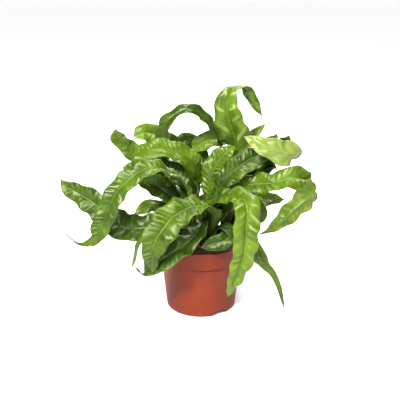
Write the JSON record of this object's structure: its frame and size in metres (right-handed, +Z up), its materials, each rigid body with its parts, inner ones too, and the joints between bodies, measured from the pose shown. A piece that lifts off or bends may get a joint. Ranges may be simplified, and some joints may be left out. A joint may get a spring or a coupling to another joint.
{
  "type": "potted fern",
  "caption": "Bird's-nest type fern with long undivided fronds, waved and twisted, growing in a collared terracotta-coloured plastic pot.",
  "frame": {"origin": "on the surface that the pot stands on, under the middle of the plant's whole footprint; the pot's own axis stands 19.5 mm from it towards +X and 2 mm towards -Y", "axes": "+Z up along the pot's axis, +X to the right and +Y away from the viewer in the picture's view"},
  "size_m": [0.3518, 0.2196, 0.3125],
  "materials": {
    "pot": "smooth moulded plastic, satin",
    "potting_mix": "rough crumbs of peat and bark",
    "crown": "matted brown scales and hairs",
    "frond": "leathery leaf, soft gloss",
    "young_frond": "thin young leaf, satin"
  },
  "bodies": {
    "root": {"pot": "pot", "soil": "potting_mix", "crown": "crown", "frond_back_left_loop": "frond", "frond_back_left_twist": "frond", "frond_big_left_arch": "frond", "frond_center_broad": "frond", "frond_center_dark": "frond", "frond_center_fan": "frond", "frond_far_1": "frond", "frond_far_2": "frond", "frond_far_3": "frond", "frond_far_4": "frond", "frond_far_5": "frond", "frond_front_left_strap": "frond", "frond_front_right_strap": "frond", "frond_hoop": "frond", "frond_inner_curl": "frond", "frond_left_back_curl": "frond", "frond_left_flag": "frond", "frond_left_inner": "frond", "frond_left_low": "frond", "frond_left_mid_leaf": "frond", "frond_left_paddle": "frond", "frond_left_shade": "frond", "frond_left_slim_drop": "frond", "frond_lime_leaf": "young_frond", "frond_olive_tip": "frond", "frond_pale_fold": "frond", "frond_pot_left_strap": "frond", "frond_right_drop": "frond", "frond_right_low": "frond", "frond_right_peak": "frond", "frond_right_spiral": "frond", "frond_right_wing": "frond", "frond_rim_curl": "frond", "frond_ruffled_back": "frond", "frond_top_flag": "frond", "frond_upper_left_arch": "frond"}
  },
  "joints": []
}
